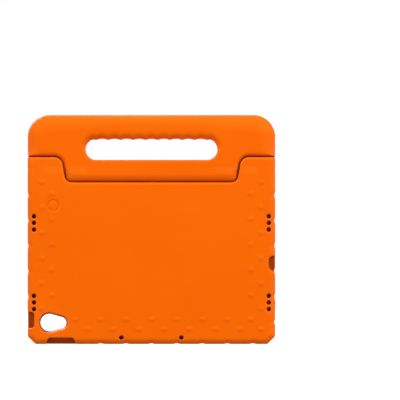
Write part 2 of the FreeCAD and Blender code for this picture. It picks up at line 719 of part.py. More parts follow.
def make_anchor(doc, name, side, sizes):
    """The handle's insert: a barrel that grips the pin and a paddle keyed into the foam."""
    start, stop, outer = sizes.anchor_start, sizes.anchor_stop, sizes.anchor_radius
    outline = [(start, 0), (start, outer), (stop, outer), (stop, sizes.pin_radius),
               (sizes.pin_start, sizes.pin_radius), (sizes.pin_start, 0)]
    body = turned(doc, name, sizes, [(across * side, up) for across, up in outline])
    depth = axis_depth(sizes)
    front, back = depth - sizes.paddle_thick / 2, depth + sizes.paddle_thick / 2
    foot, top = sizes.pivot_up + outer - sizes.paddle_root, sizes.pivot_up + sizes.paddle_rise
    near, far = sizes.paddle_start * side, sizes.paddle_stop * side
    pad(body, name + "_paddle", front, back,
        lambda sketch: rectangle(sketch, near, foot, far, top))
    round_edges(body, name + "_paddle_corners", sizes.paddle_corner,
                depth_edges((near, top), (far, top)))
    middle = (sizes.paddle_start + sizes.paddle_stop) / 2 * side
    first = sizes.pivot_up + outer + sizes.key_pitch / 2

    def draw(sketch):
        for place in (0, 1):
            circle(sketch, middle, first + sizes.key_pitch * place, sizes.key_radius)
    cut(body, name + "_keys", front - OVERRUN, back + OVERRUN, draw)
    return body


def bore_tool(doc, name, side, sizes, start, stop):
    """A rod on the handle's axis that clears the foam round the pin."""
    rod = doc.addObject("Part::Cylinder", name)
    bind(rod, "Radius", sizes.pin_radius + sizes.foam_play)
    bind(rod, "Height", stop - start)
    rod.Placement.Rotation = FreeCAD.Rotation(FreeCAD.Vector(0, 1, 0), 90 * side)
    bind(rod, "Placement.Base.x", start * side)
    bind(rod, "Placement.Base.y", axis_depth(sizes))
    bind(rod, "Placement.Base.z", sizes.pivot_up)
    return rod


def hollow_out(doc, name, moulding, tools):
    """The finished foam piece: the moulding less the space its hardware fills."""
    inserts = doc.addObject("Part::MultiFuse", name + "_inserts")
    inserts.Shapes = tools
    piece = doc.addObject("Part::Cut", name)
    piece.Base = moulding
    piece.Tool = inserts
    doc.recompute()
    return piece


def make_assembly(doc, sizes):
    """Every piece of the case, by node name."""
    pieces = {}
    ear_tools, handle_tools = [], []
    for name, side in SIDES.items():
        pieces["hinge_pin_" + name] = make_pin(doc, "hinge_pin_" + name, side, sizes)
        bush = make_bush(doc, "ear_bush_" + name, side, sizes)
        anchor = make_anchor(doc, "handle_anchor_" + name, side, sizes)
        pieces["ear_bush_" + name] = bush
        pieces["handle_anchor_" + name] = anchor
        ring = make_ring(doc, "friction_ring_" + name, side, sizes)
        pieces["friction_ring_" + name] = ring
        ear_tools += [bush, ring, bore_tool(doc, "ear_bore_" + name, side, sizes,
                                            sizes.seam_half - BORE_OVERRUN,
                                            sizes.bush_stop - sizes.bush_cap)]
        handle_tools += [anchor, bore_tool(doc, "handle_bore_" + name, side, sizes,
                                           sizes.pin_start, sizes.seam_half + BORE_OVERRUN)]
    pieces["foam_body"] = hollow_out(doc, "foam_body", make_case_moulding(doc, sizes), ear_tools)
    pieces["foam_handle"] = hollow_out(doc, "foam_handle", make_handle_moulding(doc, sizes),
                                       handle_tools)
    return pieces


def check_document(doc, pieces):
    """Stop if any object failed or any piece isn't one valid solid."""
    for item in doc.Objects:
        if "Invalid" in item.State or "Error" in item.State:
            raise RuntimeError(f"{item.Label} failed: {item.State}")
    for name, piece in pieces.items():
        shape = piece.Shape
        if shape.isNull() or not shape.isValid() or len(shape.Solids) != 1:
            raise RuntimeError(f"{name} isn't one valid solid")
        box = shape.BoundBox
        print(f"{name}: {shape.Volume:.0f} mm3, X {box.XMin:.2f} {box.XMax:.2f}, "
              f"Y {box.YMin:.2f} {box.YMax:.2f}, Z {box.ZMin:.2f} {box.ZMax:.2f}")


def main():
    """Build the document, check it and write one STEP file for each piece."""
    doc = FreeCAD.newDocument("tablet_case")
    sizes = make_sheet(doc)
    pieces = make_assembly(doc, sizes)
    doc.recompute()
    check_document(doc, pieces)
    os.makedirs("parts", exist_ok=True)
    for name, piece in pieces.items():
        piece.Label = name
        piece.Shape.exportStep(os.path.join("parts", name + ".step"))


main()
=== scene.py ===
"""Looks for the folding-handle foam tablet case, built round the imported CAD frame.

The two foam mouldings are meshed here from smooth fields: a field is negative inside the foam,
zero on its skin and positive outside it. Fields work in millimetres in the row frame.
"""
import json
import math

import bpy
import numpy as np
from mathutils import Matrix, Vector


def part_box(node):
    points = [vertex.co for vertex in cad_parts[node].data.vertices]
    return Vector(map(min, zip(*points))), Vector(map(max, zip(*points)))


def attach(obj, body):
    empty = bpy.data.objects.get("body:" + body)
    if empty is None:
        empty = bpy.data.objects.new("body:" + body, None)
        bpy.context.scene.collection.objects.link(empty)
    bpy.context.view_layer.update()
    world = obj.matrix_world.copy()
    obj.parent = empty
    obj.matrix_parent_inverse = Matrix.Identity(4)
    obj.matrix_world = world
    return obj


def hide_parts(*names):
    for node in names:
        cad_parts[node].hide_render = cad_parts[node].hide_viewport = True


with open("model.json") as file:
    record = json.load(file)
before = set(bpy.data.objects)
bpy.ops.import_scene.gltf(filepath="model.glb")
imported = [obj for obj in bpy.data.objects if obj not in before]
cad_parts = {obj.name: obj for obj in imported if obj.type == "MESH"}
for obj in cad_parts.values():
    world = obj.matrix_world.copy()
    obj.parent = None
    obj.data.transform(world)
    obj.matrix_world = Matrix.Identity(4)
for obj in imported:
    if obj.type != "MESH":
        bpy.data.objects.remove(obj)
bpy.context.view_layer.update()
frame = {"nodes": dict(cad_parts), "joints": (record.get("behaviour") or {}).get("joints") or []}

# ---------------------------------------------------------------- sizes, in millimetres
MM = 0.001


def node_box(name):
    """A CAD node's lowest and highest corners in millimetres."""
    low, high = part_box(name)
    return np.array(low) / MM, np.array(high) / MM


CASE_LOW, CASE_HIGH = node_box("foam_body")
HANDLE_LOW, HANDLE_HIGH = node_box("foam_handle")
HINGE = next(joint for joint in frame["joints"] if joint["name"] == "handle_fold")
PIVOT = np.array(HINGE["pos_m"]) / MM

HALF_WIDTH = CASE_HIGH[0]
FRONT = CASE_LOW[1]
BACK = HANDLE_HIGH[1]
TOP = HANDLE_HIGH[2]

# The case's outer edges, and the cut corners at its foot
BACK_ROUND = 6.8
FRONT_ROUND = 2.6
CORNER_CHAMFER = 8.5
CHAMFER_SOFT = 1.2

# The seam: its gap, its path round the hinge axis, its leans, and its round lips
SEAM_GAP = 0.8
EAR_RISE = 14.6
BLOCK_DROP = 13.4
SEAM_HALF = 96.8
SEAM_SLANT = 0.16
SEAM_LEAN = 0.12
WALL_LEAN = 0.14
EAR_CORNER = 9.0
VALLEY_CORNER = 5.5
SEAM_ROUND = 5.0
SEAM_END_ROUND = 1.2
SEAM_REACH_CASE = 3.0
SEAM_REACH_HANDLE = 4.0
VALLEY_REACH = 9.0
VALLEY_FADE = (3, 14)

# The handle, whose pillow edge is wider at its corners, and its finger slot
HANDLE_CORNER = 24.5
PILLOW_MIDDLE = 12.0
PILLOW_CORNER = 24.0
PILLOW_SPAN = (35, 115)
PILLOW_DEEP = (BACK - FRONT) / 2
SLOT_HALF = 73.2
SLOT_UP = 216.0
SLOT_RADIUS = 11.7
SLOT_UPPER_ROUND = 8.5
SLOT_LOWER_ROUND = 2.6
SLOT_FADE = (SLOT_UP - 4, SLOT_UP + 8)
FINGER_GROOVES = 9
FINGER_PITCH = 2 * (SLOT_HALF - SLOT_RADIUS) / FINGER_GROOVES
FINGER_DEEP = 1.4

# The tablet's pocket, and the window in the lip before it
TABLET_HALF = 129.2
TABLET_LOW = 8.7
TABLET_HIGH = 171.7
LIP_BACK = -5.5
POCKET_FLOOR = 2.0
POCKET_CORNER = 2.0
POCKET_ROUND = 1.2
POCKET_EDGE = 0.8
WINDOW_HALF = 125.0
WINDOW_LOW = 12.9
WINDOW_HIGH = 167.1
WINDOW_CORNER = 1.8
WINDOW_OVERRUN = 3
LIP_ROUND = 3.5

# The camera window, as two circles (across, up, radius)
LENS_WIDE = (113.4, 23.8, 11.3)
LENS_NARROW = (101.0, 23.8, 8.1)
LENS_ROUND = 1.0
LENS_DRAFT = 0.2

# The notches, and where they break through into the pocket
VOLUME_MID = 100.4
VOLUME_HALF = 16.8
VOLUME_LEAN = 0.39
VOLUME_DEEP = 7.3
VOLUME_CORNER = 2.2
VOLUME_BREACH_HALF = 11.5
VOLUME_BREACH = (4.0, 12.0)
POWER_SPAN = (17.7, 35.6)
POWER_CORNER = 3.2
POWER_INSET = 2
PORT_SPAN = (81.3, 97.6)
PORT_CORNER = 5.2
PORT_INSET = 3
NOTCH_REACH = 129.8
NOTCH_ROUND = 0.9
SIDE_BREACH = (126, 134)
BREACH_ROUND = 0.5

# The speaker holes, in groups, and the microphone holes
SOUND_HOLE = 2.5
SOUND_PITCH = 7.4
SOUND_GROUP = 3
SOUND_ROUND = 0.45
SOUND_FLOOR = -1.75
SPEAKER_ACROSS = 130.0
SPEAKER_RISE = 44.1
MIC_SPOT = (33.2, 7.3)

# The flutes in the outer walls: how many, and how much fainter the one at the hinge is
GRIP_PITCH = 28.1
FLUTE_HALF = 4.6
FLUTE_DEEP = 0.95
POWER_SIDE_FLUTES = 6
PORT_SIDE_FLUTES = 7
BOTTOM_FLUTES = 7
BOTTOM_FLUTE_START = -4 * GRIP_PITCH
HINGE_FLUTE_LOSS = 0.8
HINGE_FLUTE_FADE = (PIVOT[2] - GRIP_PITCH * 0.6, PIVOT[2] - GRIP_PITCH * 0.4)

# The grip bumps: columns (across, top, count) and rows (up, start)
BUMP_RISE = 0.75
BUMP_SIZE = (4.2, 3.2)
BUMP_POWER = 1.2
OUTER_COLUMN = (121.3, 180.0, 6)
INNER_COLUMN = (110.3, 167.1, 5)
OUTER_ROW = (16.9, -3.5 * GRIP_PITCH)
INNER_ROW = (27.6, -3 * GRIP_PITCH)
ROW_BUMPS = 7

# The mark of the mould's gate
GATE_SPOT = (108.9, 154.0)
GATE_RADIUS = 5.9
GATE_RING = 0.8
GATE_DEEP = 0.8
GATE_SINK = 0.2

# The hinge: the foam collar on each pin, and the room for the hardware in the foam
BOSS_RADIUS = 2.7
BOSS_STOP = 98.9
BOSS_ROOM = 3.1
PIN_STOP = 94.0
PIN_ROOM = 2.3
PIN_ROOM_START = 85
EAR_BORE_START = 90
BORE_OVERLAP = 1
BORE_ROUND = 0.3
BUSH_ROOM = 3.45
COLLAR_INSET = 4
HINGE_SKIN = 1.8
PADDLE_INSET = (4, 1.2)
PADDLE_HALF = 1.5

# How dark the painted shade in the openings is, and where it fades in: first by distance from
# the opening's wall, then by depth below the camera face
NOTCH_SHADE = 0.68
LENS_SHADE = 0.78
HOLE_FADE = ((0.55, 0.15), (0.4, 1.6))
NOTCH_FADE = ((1.0, 0.3), (1.0, 4.0))
LENS_FADE = ((0.8, 0.2), (0.3, 2.0))

# How dark the seam's painted shade is, fading in towards its middle and with depth below
# the nearer face
SEAM_SHADE = 0.36
SHADE_HANDLE = 3.4
SHADE_CASE = 2.6
SHADE_START = SEAM_GAP / 2 + 0.2
SEAM_FADE = (-0.3, -2.6)

# How dark the painted shade on the collars is, fading in by distance from the collar, then
# from the seam
BOSS_SHADE = 0.95
BOSS_FADE = ((0.6, 0.2), (2.0, 1.0))

# Grid lines for the meshes as (start, stop, step), finest where the details are
EDGE = HALF_WIDTH + 1.7
DEPTH_GRID = ((FRONT - 1.3, 7.0, 1.0), (7.0, CASE_HIGH[1] + 1.5, 0.6))
CASE_ACROSS_GRID = ((-EDGE, -92, 1.0), (-92, 92, 1.9), (92, EDGE, 1.0))
CASE_UP_GRID = ((-1.7, 36, 1.0), (36, 160, 1.8), (160, CASE_HIGH[2] + 2, 1.0))
HANDLE_ACROSS_GRID = ((-EDGE, EDGE, 1.05),)
HANDLE_UP_GRID = ((HANDLE_LOW[2] - 1.6, TOP + 1.6, 1.05),)

# How vertices settle on the skin
SETTLE_ROUNDS = 7
PULL_ROUNDS = 2
EVEN_SHARE = 0.45
SLOPE_STEP = 0.03
LEAST_SLOPE = 0.1
LONGEST_MOVE = 0.8
BEND_REACH = 1.6


# ---------------------------------------------------------------- ways to join fields
def rounded(first, second, radius):
    """The overlap of two regions, with a round edge of that radius where they meet."""
    corner = np.hypot(np.maximum(first + radius, 0), np.maximum(second + radius, 0))
    return np.minimum(np.maximum(first, second), -radius) + corner


def softly(first, second, radius):
    """The overlap of two regions whose corner grows rounder with depth inside."""
    deep_first, deep_second = radius - first, radius - second
    inside = np.minimum(deep_first, deep_second) > 0
    size = np.maximum(np.hypot(deep_first, deep_second), 1e-9)
    return np.where(inside, radius - deep_first * deep_second / size,
                    np.hypot(np.maximum(-deep_first, 0), np.maximum(-deep_second, 0)) + radius)


def nearness(first, second):
    """1 where the second boundary is much the nearer, and 0 where the first is."""
    far_first, far_second = np.maximum(-first, 0.01), np.maximum(-second, 0.01)
    return ease(0, 1, far_first / (far_first + far_second))


def joined(first, second, radius):
    """Two regions together, with a round hollow of that radius where they meet."""
    return -rounded(-first, -second, radius)


def pillowed(side, face, reach, depth):
    """The overlap of an outline and a slab, with a quarter of an ellipse for an edge."""
    across = np.maximum(1 + side / reach, 0)
    through = np.maximum(1 + face / depth, 0)
    return (np.hypot(across, through) - 1) * depth


def ease(low, high, value):
    """0 on low's side, 1 on high's side and smooth between them, whichever is the larger."""
    share = np.clip((value - low) / (high - low), 0, 1)
    return share * share * (3 - 2 * share)


def flat_box(across, up, half_across, half_up, corner):
    """A rectangle about the origin with round corners."""
    over_a = np.abs(across) - half_across + corner
    over_u = np.abs(up) - half_up + corner
    outside = np.hypot(np.maximum(over_a, 0), np.maximum(over_u, 0))
    return outside + np.minimum(np.maximum(over_a, over_u), 0) - corner


def within(value, low, high):
    """The stretch between two planes."""
    return np.abs(value - (low + high) / 2) - (high - low) / 2


def every(value, start, pitch, count):
    """Offset from the nearest of several marks at an even pitch from start."""
    index = np.clip(np.round((value - start) / pitch), 0, count - 1)
    return value - start - index * pitch


# ---------------------------------------------------------------- the seam both pieces share
def seam_side(x, y, z):
    """Distance from the seam: negative on the handle's side, positive on the case's.

    The seam leans so that the handle is larger towards the screen face, and no light passes.
    """
    behind = y - PIVOT[1]
    over = z - SEAM_LEAN * behind - PIVOT[2]
    ear = EAR_RISE - over
    valley = -BLOCK_DROP - over
    wall = np.abs(x) + WALL_LEAN * behind - SEAM_HALF - SEAM_SLANT * over
    block = rounded(valley, wall / math.hypot(1, SEAM_SLANT), VALLEY_CORNER)
    return joined(ear, block, EAR_CORNER)


def face_side(y, relief=0.0):
    """Distance past the nearer of the two faces."""
    return np.maximum(y - BACK - relief, FRONT - y)


def along_bore(x, y, z, start, stop, radius):
    """A rod on the hinge axis, the same on both sides, under a skin of whole foam."""
    rod = np.hypot(y - PIVOT[1], z - PIVOT[2]) - radius
    rod = np.maximum(rod, y - BACK + HINGE_SKIN)
    return np.maximum(rod, within(np.abs(x), start, stop))


# ---------------------------------------------------------------- the case's moulding
def flute(offset):
    """Depth of a shallow groove at a distance from its middle."""
    reach = np.clip(np.abs(offset) / FLUTE_HALF, 0, 1)
    return FLUTE_DEEP * np.cos(reach * math.pi / 2) ** 2


def case_outline(x, z):
    """The case's outer walls with their flutes, the top one faint, and cut corners."""
    side_count = np.where(x > 0, POWER_SIDE_FLUTES, PORT_SIDE_FLUTES)
    down = every(PIVOT[2] - z, 0, GRIP_PITCH, side_count)
    strength = 1 - HINGE_FLUTE_LOSS * ease(*HINGE_FLUTE_FADE, z)
    side = np.abs(x) - HALF_WIDTH + flute(down) * strength
    bottom = flute(every(x, BOTTOM_FLUTE_START, GRIP_PITCH, BOTTOM_FLUTES)) - z
    cut = (np.abs(x) - z - HALF_WIDTH + CORNER_CHAMFER) / math.sqrt(2)
    return rounded(np.maximum(side, bottom), cut, CHAMFER_SOFT)


def bump(across, up):
    """Height of one oval grip bump round its middle."""
    share = 1 - (across / BUMP_SIZE[0]) ** 2 - (up / BUMP_SIZE[1]) ** 2
    return BUMP_RISE * np.maximum(share, 0) ** BUMP_POWER


def grip_bumps(x, z):
    """Height of the rows and columns of bumps on the camera face."""
    height = 0
    for (across, top, count), (up, start) in ((OUTER_COLUMN, OUTER_ROW),
                                              (INNER_COLUMN, INNER_ROW)):
        column = bump(np.abs(x) - across, every(top - z, 0, GRIP_PITCH, count))
        row = bump(every(x, start, GRIP_PITCH, ROW_BUMPS), z - up)
        corner = bump(x + across, z - up)
        height = np.maximum(height, np.maximum(column, np.maximum(row, corner)))
    return height


def gate_mark(x, z):
    """The faint sunken disc with a ring that the mould's gate leaves."""
    away = np.hypot(x - GATE_SPOT[0], z - GATE_SPOT[1])
    ring = GATE_DEEP * np.exp(-((away - GATE_RADIUS) / GATE_RING) ** 2)
    return -ring - GATE_SINK * ease(GATE_RADIUS, GATE_RADIUS - 1, away)


def teardrop(x, z):
    """The camera window: two circles and their common tangents."""
    (wide_x, wide_z, wide), (narrow_x, _, narrow) = LENS_WIDE, LENS_NARROW
    length = wide_x - narrow_x
    along, aside = wide_x - x, np.abs(z - wide_z)
    lean = (wide - narrow) / length
    grip = math.sqrt(1 - lean * lean)
    place = grip * along - lean * aside
    tangent = lean * along + grip * aside - wide
    past_wide = np.hypot(along, aside) - wide
    past_narrow = np.hypot(along - length, aside) - narrow
    return np.where(place < 0, past_wide, np.where(place > grip * length, past_narrow, tangent))


def lens_window(x, y, z):
    """The camera window's hole, a little narrower towards the pocket."""
    return np.maximum(teardrop(x, z) + LENS_DRAFT * (BACK - y), -y)


def notches(x, y, z):
    """The button and port notches, open from the camera face down to the lip."""
    stretch = math.hypot(1, VOLUME_LEAN)
    volume = rounded((np.abs(x - VOLUME_MID) - VOLUME_HALF + VOLUME_LEAN * z) / stretch,
                     z - VOLUME_DEEP, VOLUME_CORNER)
    power = rounded(within(z, *POWER_SPAN), NOTCH_REACH - x, POWER_CORNER)
    port = rounded(within(z, *PORT_SPAN), x + NOTCH_REACH, PORT_CORNER)
    return np.maximum(np.minimum(volume, np.minimum(power, port)), LIP_BACK - y)


def breaches(x, y, z):
    """Openings from the notches into the tablet pocket."""
    deep = within(y, LIP_BACK, POCKET_FLOOR)
    volume = np.maximum(np.abs(x - VOLUME_MID) - VOLUME_BREACH_HALF, within(z, *VOLUME_BREACH))
    power = np.maximum(within(z, POWER_SPAN[0] + POWER_INSET, POWER_SPAN[1] - POWER_INSET),
                       within(x, *SIDE_BREACH))
    port = np.maximum(within(z, PORT_SPAN[0] + PORT_INSET, PORT_SPAN[1] - PORT_INSET),
                      within(-x, *SIDE_BREACH))
    return np.maximum(np.minimum(volume, np.minimum(power, port)), deep)


def sound_holes(x, y, z):
    """Speaker holes in threes beside the pocket and two microphone holes under it."""
    middle = (TABLET_LOW + TABLET_HIGH) / 2
    group = np.abs(z - middle) - SPEAKER_RISE
    along = every(group, -SOUND_PITCH, SOUND_PITCH, SOUND_GROUP)
    speaker = np.hypot(np.abs(x) - SPEAKER_ACROSS, along)
    mic = np.hypot(np.abs(x) - MIC_SPOT[0], z - MIC_SPOT[1])
    return np.maximum(np.minimum(speaker, mic) - SOUND_HOLE, SOUND_FLOOR - y)


def case_field(x, y, z):
    """The whole foam case."""
    relief = grip_bumps(x, z) + gate_mark(x, z)
    face = face_side(y, relief)
    walls = case_outline(x, z)
    seam = SEAM_GAP / 2 - seam_side(x, y, z)
    near_seam = nearness(walls, seam)
    wall_round = np.where(y > 0, BACK_ROUND, FRONT_ROUND)
    reach = wall_round + (SEAM_REACH_CASE - wall_round) * near_seam
    depth = wall_round + (SEAM_ROUND - wall_round) * near_seam
    foam = pillowed(softly(walls, seam, SEAM_END_ROUND), face, reach, depth)

    window_mid = (WINDOW_LOW + WINDOW_HIGH) / 2
    window = flat_box(x, z - window_mid, WINDOW_HALF, WINDOW_HIGH - window_mid, WINDOW_CORNER)
    foam = rounded(foam, -np.maximum(window, y - LIP_BACK - WINDOW_OVERRUN), LIP_ROUND)
    pocket_mid = (TABLET_LOW + TABLET_HIGH) / 2
    pocket = flat_box(x, z - pocket_mid, TABLET_HALF, TABLET_HIGH - pocket_mid, POCKET_CORNER)
    pocket = rounded(pocket, within(y, LIP_BACK, POCKET_FLOOR), POCKET_ROUND)
    foam = rounded(foam, -pocket, POCKET_EDGE)
    foam = rounded(foam, -lens_window(x, y, z), LENS_ROUND)
    foam = rounded(foam, -notches(x, y, z), NOTCH_ROUND)
    foam = rounded(foam, -breaches(x, y, z), BREACH_ROUND)
    foam = rounded(foam, -sound_holes(x, y, z), SOUND_ROUND)
    return rounded(foam, -hinge_bores(x, y, z), BORE_ROUND)


def hinge_bores(x, y, z):
    """Room in the ears for the collars round the pins, and for the bushes."""
    low, high = node_box("ear_bush_right")
    flange = (high[2] - low[2]) / 2
    room = along_bore(x, y, z, EAR_BORE_START, low[0] + BORE_OVERLAP, BOSS_ROOM)
    for start, stop, radius in ((low[0], high[0], BUSH_ROOM),
                                (low[0] + COLLAR_INSET, high[0] - COLLAR_INSET, flange)):
        room = np.minimum(room, along_bore(x, y, z, start, stop, radius))
    return room


def shade_in(opening, y, fade):
    """Painted shade: 1 on an opening's wall, fading to 0 away from it and towards the camera
    face.
    """
    (outer, inner), (shallow, deep) = fade
    return ease(outer, inner, opening) * ease(BACK - shallow, BACK - deep, y)


def case_painted_shade(x, y, z):
    """Painted shade where light is low: 1 in the depth of the sound holes, and less in the other
    openings and the seam.
    """
    hole = shade_in(sound_holes(x, np.maximum(y, 0), z), y, HOLE_FADE) * (y > LIP_BACK)
    notch = shade_in(notches(x, y, z), y, NOTCH_FADE)
    lens = shade_in(lens_window(x, y, z), y, LENS_FADE) * (y > POCKET_FLOOR - LENS_ROUND / 2)
    openings = np.maximum(NOTCH_SHADE * notch, LENS_SHADE * lens)
    return np.maximum(np.maximum(hole, openings), seam_painted_shade(x, y, z))


def seam_painted_shade(x, y, z):
    """Painted shade down in the seam, wider on the handle's lip and strong on the collars."""
    side = seam_side(x, y, z)
    reach = np.where(side < 0, SHADE_HANDLE, SHADE_CASE)
    deep = ease(reach, SHADE_START, np.abs(side)) * ease(*SEAM_FADE, face_side(y))
    near_boss, near_seam = BOSS_FADE
    boss = ease(*near_boss, pin_boss(x, y, z)) * ease(*near_seam, np.abs(side))
    return np.maximum(SEAM_SHADE * deep, BOSS_SHADE * boss)


# ---------------------------------------------------------------- the handle's moulding
def handle_outline(x, z):
    """The handle's outer edge, with its two large top corners."""
    over_a = np.abs(x) - HALF_WIDTH + HANDLE_CORNER
    over_u = z - TOP + HANDLE_CORNER
    outside = np.hypot(np.maximum(over_a, 0), np.maximum(over_u, 0))
    return outside + np.minimum(np.maximum(over_a, over_u), 0) - HANDLE_CORNER


def finger_slot(x, z):
    """A stadium whose upper edge is scalloped for the fingertips."""
    flat = SLOT_HALF - SLOT_RADIUS
    end = np.hypot(np.maximum(np.abs(x) - flat, 0), z - SLOT_UP) - SLOT_RADIUS
    place = every(x, -(FINGER_GROOVES + 1) / 2 * FINGER_PITCH, FINGER_PITCH, FINGER_GROOVES + 2)
    share = np.clip(np.abs(place) / FINGER_PITCH * 2, 0, 1)
    return end + FINGER_DEEP * share ** 2 * ease(SLOT_UP, SLOT_UP + SLOT_RADIUS, z)


def handle_field(x, y, z):
    """The whole foam handle."""
    outer = handle_outline(x, z)
    seam = seam_side(x, y, z) + SEAM_GAP / 2
    near_seam = nearness(outer, seam)
    over_valley = z - SEAM_LEAN * (y - PIVOT[1]) - PIVOT[2] + BLOCK_DROP
    up_wall = ease(*VALLEY_FADE, over_valley)
    seam_reach = VALLEY_REACH - (VALLEY_REACH - SEAM_REACH_HANDLE) * up_wall
    pillow = PILLOW_MIDDLE + (PILLOW_CORNER - PILLOW_MIDDLE) * ease(*PILLOW_SPAN, np.abs(x))
    reach = pillow + (seam_reach - pillow) * near_seam
    depth = PILLOW_DEEP + (SEAM_ROUND - PILLOW_DEEP) * near_seam
    foam = pillowed(softly(outer, seam, SEAM_END_ROUND), face_side(y), reach, depth)
    slot_round = SLOT_LOWER_ROUND + (SLOT_UPPER_ROUND - SLOT_LOWER_ROUND) * ease(*SLOT_FADE, z)
    foam = rounded(foam, -finger_slot(x, z), slot_round)
    foam = rounded(foam, -anchor_space(x, y, z), BORE_ROUND)
    return np.minimum(foam, pin_boss(x, y, z))


def pin_boss(x, y, z):
    """The round collar of foam on each pin, which reaches over the seam into the ear."""
    collar = np.hypot(y - PIVOT[1], z - PIVOT[2]) - BOSS_RADIUS
    return np.maximum(collar, within(np.abs(x), PIN_STOP, BOSS_STOP))


def anchor_space(x, y, z):
    """Room for the anchors and pins in the handle's block."""
    low, high = node_box("handle_anchor_right")
    barrel = along_bore(x, y, z, low[0], high[0], PIVOT[2] - low[2])
    plate = np.maximum(np.abs(y - PIVOT[1]) - PADDLE_HALF, within(z, PIVOT[2], high[2]))
    inner, outer = PADDLE_INSET
    paddle = np.maximum(within(np.abs(x), low[0] + inner, high[0] - outer), plate)
    pin = along_bore(x, y, z, PIN_ROOM_START, PIN_STOP, PIN_ROOM)
    return np.minimum(np.minimum(barrel, paddle), pin)


# ---------------------------------------------------------------- from a field to a mesh
def graded(stretches):
    """Grid lines over several stretches, each (start, stop, step)."""
    lines = [np.arange(start, stop - step / 2, step) for start, stop, step in stretches]
    return np.concatenate(lines + [np.array([stretches[-1][1]])])


def net_vertices(values, inside, axes):
    """One vertex for each grid cell that the skin crosses, and the cell's vertex number."""
    shape = tuple(n - 1 for n in values.shape)
    corners = [(i, j, k) for i in (0, 1) for j in (0, 1) for k in (0, 1)]
    count = np.zeros(shape, np.int8)
    for i, j, k in corners:
        count += inside[i:i + shape[0], j:j + shape[1], k:k + shape[2]]
    cells = np.argwhere((count > 0) & (count < 8))
    number = np.full(shape, -1, np.int64)
    number[tuple(cells.T)] = np.arange(len(cells))
    total, hits = np.zeros((len(cells), 3)), np.zeros(len(cells))
    for start in corners:
        for axis in range(3):
            if start[axis]:
                continue
            stop = tuple(s + (a == axis) for a, s in enumerate(start))
            near, far = cells + start, cells + stop
            at_near, at_far = values[tuple(near.T)], values[tuple(far.T)]
            crossed = (at_near < 0) != (at_far < 0)
            share = at_near[crossed] / (at_near[crossed] - at_far[crossed])
            near_spot = np.stack([axes[a][near[crossed, a]] for a in range(3)], 1)
            far_spot = np.stack([axes[a][far[crossed, a]] for a in range(3)], 1)
            total[crossed] += near_spot + (far_spot - near_spot) * share[:, None]
            hits[crossed] += 1
    return total / hits[:, None], number


def net_faces(inside, number):
    """A quad for each grid edge that the skin crosses."""
    quads = []
    for axis in range(3):
        left = [slice(1, -1)] * 3
        right = list(left)
        left[axis], right[axis] = slice(None, -1), slice(1, None)
        first, second = inside[tuple(left)], inside[tuple(right)]
        for flip, found in ((False, first & ~second), (True, ~first & second)):
            spots = np.argwhere(found)
            base = spots + [0 if a == axis else 1 for a in range(3)]
            u, v = [a for a in range(3) if a != axis]
            ring = []
            for du, dv in ((0, 0), (1, 0), (1, 1), (0, 1)):
                cell = base.copy()
                cell[:, u] -= 1 - du
                cell[:, v] -= 1 - dv
                ring.append(number[tuple(cell.T)])
            quad = np.stack(ring, 1)
            outward = flip != (axis == 1)
            quads.append(quad[:, ::-1] if outward else quad)
    return np.concatenate(quads)


def slope(field, points):
    """The field's value and gradient at points."""
    step = SLOPE_STEP
    x, y, z = points.T
    rise = [field(x + step * (a == 0), y + step * (a == 1), z + step * (a == 2))
            - field(x - step * (a == 0), y - step * (a == 1), z - step * (a == 2))
            for a in range(3)]
    return field(x, y, z), np.stack(rise, 1) / (2 * step)


def settle(field, points, quads):
    """Even out the vertices over the skin and pull each one onto it."""
    pairs = np.concatenate([quads[:, [0, 1]], quads[:, [1, 2]], quads[:, [2, 3]],
                            quads[:, [3, 0]]])
    ends = np.concatenate([pairs, pairs[:, ::-1]])
    degree = np.bincount(ends[:, 0], minlength=len(points))
    for turn in range(SETTLE_ROUNDS):
        if turn < SETTLE_ROUNDS - PULL_ROUNDS:
            mean = np.stack([np.bincount(ends[:, 0], points[ends[:, 1], a], len(points))
                             for a in range(3)], 1) / degree[:, None]
            points = points + (mean - points) * EVEN_SHARE
        value, gradient = slope(field, points)
        size = np.maximum((gradient ** 2).sum(1), LEAST_SLOPE)
        move = np.clip(value / size, -LONGEST_MOVE, LONGEST_MOVE)
        points = points - gradient * move[:, None]
    return points


def skin_bend(field, points):
    """How sharply the skin bends at each vertex: above 0 on edges, below 0 in hollows."""
    reach = BEND_REACH
    x, y, z = points.T
    around = sum(field(x + reach * (a == 0), y + reach * (a == 1), z + reach * (a == 2))
                 + field(x - reach * (a == 0), y - reach * (a == 1), z - reach * (a == 2))
                 for a in range(3))
    return np.clip(around / reach, -1, 1)


def mould(name, field, painted_shade_mark, stretches):
    """Mesh one foam moulding from its field, and mark its edges, its hollows and the painted
    shade in its recesses.
    """
    axes = [graded(along) for along in stretches]
    grid = np.meshgrid(*axes, indexing="ij", sparse=True)
    values = np.broadcast_to(field(*grid), [len(a) for a in axes])
    inside = values < 0
    points, number = net_vertices(values, inside, axes)
    quads = net_faces(inside, number)
    points = settle(field, points, quads)
    mesh = bpy.data.meshes.new(name)
    mesh.from_pydata((points * MM).tolist(), [], quads.tolist())
    mesh.polygons.foreach_set("use_smooth", np.ones(len(quads), bool))
    for mark, amount in (("bend", skin_bend(field, points)), ("painted_shade_mark", painted_shade_mark(*points.T))):
        mesh.attributes.new(mark, "FLOAT", "POINT").data.foreach_set(
            "value", amount.astype(np.float32))
    mesh.validate()
    print(name, len(points), "vertices", len(quads), "quads")
    piece = bpy.data.objects.new(name, mesh)
    bpy.context.scene.collection.objects.link(piece)
    return piece


def make_case():
    """The foam case."""
    piece = mould("case_shell", case_field, case_painted_shade,
                  (CASE_ACROSS_GRID, DEPTH_GRID, CASE_UP_GRID))
    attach(piece, "case_body")
    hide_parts("foam_body")
    return piece


def make_handle():
    """The foam handle."""
    piece = mould("carry_handle", handle_field, seam_painted_shade,
                  (HANDLE_ACROSS_GRID, DEPTH_GRID, HANDLE_UP_GRID))
    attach(piece, "handle")
    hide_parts("foam_handle")
    return piece


